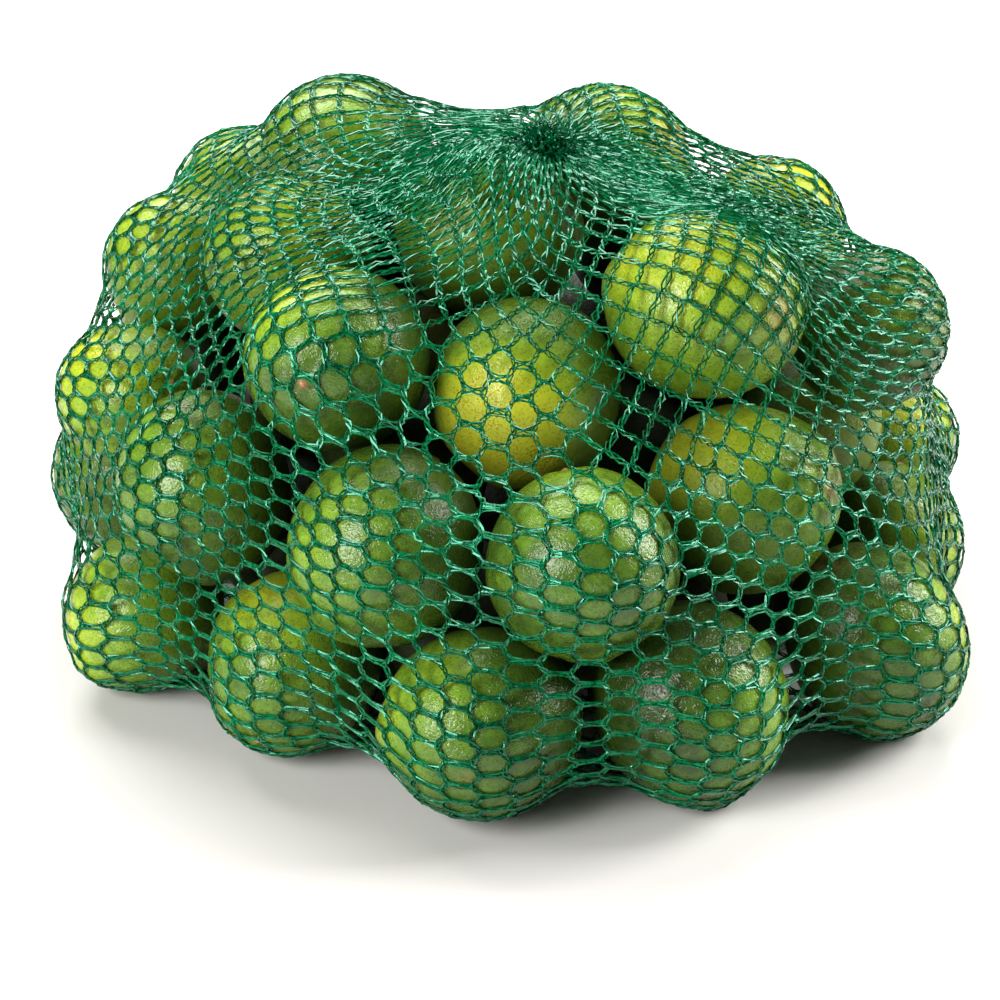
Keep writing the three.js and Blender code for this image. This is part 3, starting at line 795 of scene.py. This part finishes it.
def lime_material(name, shine):
    mat, nt, bsdf = tree(name)
    co = node(nt, "ShaderNodeTexCoord").outputs["Object"]
    tint = node(nt, "ShaderNodeAttribute", attribute_name="tint")
    parts = nt.nodes.new("ShaderNodeSeparateColor")
    link(nt, tint.outputs["Color"], parts.inputs["Color"])
    ripe, dry, button = parts.outputs[0], parts.outputs[1], parts.outputs[2]

    broad = noise(nt, co, 62.0, 3.0, 0.55, 0.6)
    fine = noise(nt, co, 330.0, 3.0, 0.6, 0.3)
    v = maths(nt, "MULTIPLY_ADD", broad, 0.50, -0.25)
    w = maths(nt, "MULTIPLY_ADD", fine, 0.36, -0.17)
    level = maths(nt, "ADD", maths(nt, "ADD", ripe, v), w, clamp=True)
    skin = ramp(nt, [
        (0.00, srgb(45, 69, 24)), (0.24, srgb(72, 105, 31)), (0.48, srgb(107, 145, 38)),
        (0.74, srgb(154, 184, 43)), (1.00, srgb(204, 211, 50)),
    ])
    link(nt, level, skin.inputs["Fac"])

    # oil glands: close small pits, a little browner than the rind between them
    pores = node(nt, "ShaderNodeTexVoronoi", feature="F1")
    pores.inputs["Scale"].default_value = 1150.0
    pores.inputs["Randomness"].default_value = 1.0
    link(nt, co, pores.inputs["Vector"])
    pit = ramp(nt, [(0.10, (1, 1, 1)), (0.52, (0, 0, 0))], "EASE")
    link(nt, pores.outputs["Distance"], pit.inputs["Fac"])
    gland = ramp(nt, [(0.1, srgb(40, 52, 10)), (0.6, srgb(82, 88, 12)), (1.0, srgb(160, 104, 10))])
    link(nt, level, gland.inputs["Fac"])
    dotted = mix(nt, maths(nt, "MULTIPLY", pit.outputs["Color"], maths(nt, "MULTIPLY_ADD", broad, 0.9, 0.05)), skin.outputs["Color"], gland.outputs["Color"])

    # dry tan patches with a ragged edge, and the stem end
    rag = noise(nt, co, 420.0, 4.0, 0.65)
    tan = maths(nt, "MULTIPLY", maths(nt, "MULTIPLY_ADD", rag, 1.6, 0.1), dry, clamp=True)
    dried = mix(nt, tan, dotted, srgb(178, 152, 92))
    cork = ramp(nt, [(0.3, srgb(124, 86, 52)), (0.7, srgb(206, 142, 106))])
    link(nt, rag, cork.inputs["Fac"])
    whole = mix(nt, button, dried, cork.outputs["Color"])
    # painted shade: the tint's fourth channel darkens the rind towards near black where it lies deep in the bag
    link(nt, mix(nt, tint.outputs["Alpha"], whole, srgb(12, 16, 5)), bsdf.inputs["Base Color"])

    # waxed, half gloss, crinkled in places
    fold = noise(nt, co, 400.0, 2.0, 0.55, 1.6)
    ridge = maths(nt, "ABSOLUTE", maths(nt, "SUBTRACT", fold, 0.5))
    where = noise(nt, co, 70.0, 2.0, 0.5)
    crinkled = ramp(nt, [(0.38, (0.36,) * 3), (0.60, (1, 1, 1))], "EASE")
    link(nt, where, crinkled.inputs["Fac"])
    folds = maths(nt, "MULTIPLY", ridge, crinkled.outputs["Color"])
    rough = ramp(nt, [(0.30, (0.13,) * 3), (0.70, (0.25,) * 3)])
    link(nt, fine, rough.inputs["Fac"])
    dull = mix(nt, tint.outputs["Alpha"], rough.outputs["Color"], (0.58, 0.58, 0.58))
    link(nt, dull, bsdf.inputs["Roughness"])
    bsdf.inputs["Specular IOR Level"].default_value = shine
    bump1 = node(nt, "ShaderNodeBump")
    bump1.inputs["Strength"].default_value = 0.6
    bump1.inputs["Distance"].default_value = 0.0011
    link(nt, folds, bump1.inputs["Height"])
    bump2 = node(nt, "ShaderNodeBump")
    bump2.invert = True
    bump2.inputs["Strength"].default_value = 0.28
    bump2.inputs["Distance"].default_value = 0.00020
    link(nt, pit.outputs["Color"], bump2.inputs["Height"])
    link(nt, bump1.outputs["Normal"], bump2.inputs["Normal"])
    link(nt, bump2.outputs["Normal"], bsdf.inputs["Normal"])
    return mat


def yarn_material():
    mat, nt, bsdf = tree("net_yarn_green")
    co = node(nt, "ShaderNodeTexCoord").outputs["Object"]
    broad = noise(nt, co, 45.0, 2.0, 0.5)
    fine = noise(nt, co, 900.0, 3.0, 0.6, 0.5)
    level = maths(nt, "MULTIPLY_ADD", fine, 1.0, maths(nt, "MULTIPLY_ADD", broad, 0.5, -0.25), clamp=True)
    green = ramp(nt, [
        (0.15, srgb(0, 30, 12)), (0.42, srgb(0, 72, 36)),
        (0.70, srgb(0, 124, 72)), (0.95, srgb(30, 190, 134)),
    ])
    link(nt, level, green.inputs["Fac"])
    link(nt, green.outputs["Color"], bsdf.inputs["Base Color"])
    gloss = ramp(nt, [(0.2, (0.12,) * 3), (0.8, (0.26,) * 3)])
    link(nt, fine, gloss.inputs["Fac"])
    link(nt, gloss.outputs["Color"], bsdf.inputs["Roughness"])
    bsdf.inputs["Specular IOR Level"].default_value = 0.7
    bsdf.inputs["Specular Tint"].default_value = (0.34, 1.0, 0.76, 1.0)
    bump = node(nt, "ShaderNodeBump")
    bump.inputs["Strength"].default_value = 0.5
    bump.inputs["Distance"].default_value = 0.00015
    link(nt, fine, bump.inputs["Height"])
    link(nt, bump.outputs["Normal"], bsdf.inputs["Normal"])
    return mat


# ---------------------------------------------------------------- the pieces
surface = net_surface()
yarn = yarn_material()
inner = depth_below(LIMES[:, :3]) - LIMES[:, 3] > 6.0
inner[:SHOWN] = False
pieces, verts, faces, n = [], [], [], 0
# fruit lying deep inside get a copy of the rind with little gloss, so that they stay dark as shade in the gaps between
# the front fruit
for name, which, shine in (("limes", np.flatnonzero(~inner), 0.38), ("limes_inside", np.flatnonzero(inner), 0.1)):
    v, f, uv, tint = build_limes(which)
    piece = make_object(name, v, f, uv, {"tint": tint})
    piece.data.materials.append(lime_material(name + "_rind", shine))
    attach(piece, "root")
    pieces.append(piece)
    verts.append(v)
    faces += [x + n for x in f]
    n += len(v)

fruit = BVHTree.FromPolygons(np.concatenate(verts).tolist(), [q for f in faces for q in f.tolist()])
plies, ties = build_net()
for name, (verts, faces, uv) in (("net_yarn_a", plies[0]), ("net_yarn_b", plies[1]), ("net_yarn_c", plies[2]),
                                 ("net_ties_a", ties[0]), ("net_ties_b", ties[1]), ("net_ties_c", ties[2]),
                                 ("net_tuft", build_tuft())):
    piece = make_object(name, verts, faces, uv, rounded=False)
    piece.data.materials.append(yarn)
    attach(piece, "root")
    pieces.append(piece)
for piece in pieces:
    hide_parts("lime_bag")

# ---------------------------------------------------------------- stage and light
floor_mesh = bpy.data.meshes.new("floor")
floor_mesh.from_pydata([(-3, -3, 0), (3, -3, 0), (3, 3, 0), (-3, 3, 0)], [], [(0, 1, 2, 3)])
floor = bpy.data.objects.new("floor", floor_mesh)
bpy.context.collection.objects.link(floor)
paper, nt, bsdf = tree("paper_floor")
bsdf.inputs["Base Color"].default_value = (0.705, 0.682, 0.650, 1)
bsdf.inputs["Roughness"].default_value = 0.9
bsdf.inputs["Specular IOR Level"].default_value = 0.1
floor_mesh.materials.append(paper)


def soft_light(name, place, aim, size, power, colour=(1, 1, 1)):
    d = bpy.data.lights.new(name, "AREA")
    d.shape = "RECTANGLE"
    d.size, d.size_y = size
    d.energy = power
    d.color = colour
    o = bpy.data.objects.new(name, d)
    o.location = place
    v = np.array(aim, float) - np.array(place, float)
    v /= np.linalg.norm(v)
    o.rotation_euler = (math.acos(-v[2]), 0.0, math.atan2(-v[0], v[1]))
    bpy.context.collection.objects.link(o)
    return o


soft_light("light_left", (-0.74, -0.72, 0.59), (0.0, -0.04, 0.07), (0.46, 0.70), 16.0)
soft_light("light_right", (0.94, 0.13, 0.62), (0.0, 0.0, 0.07), (0.48, 0.80), 18.4)
soft_light("light_top", (-0.22, 0.92, 1.32), (0.0, 0.05, 0.05), (1.8, 1.1), 54.0)

world = bpy.data.worlds.new("studio")
bpy.context.scene.world = world
world.use_nodes = True
sky = world.node_tree.nodes["Background"]
sky.inputs["Color"].default_value = (1.0, 1.0, 1.0, 1)
sky.inputs["Strength"].default_value = 0.10
bpy.context.scene.view_settings.view_transform = "Standard"
bpy.context.scene.view_settings.look = "None"
bpy.context.scene.view_settings.exposure = 0.0
bpy.context.scene.view_settings.gamma = 1.0
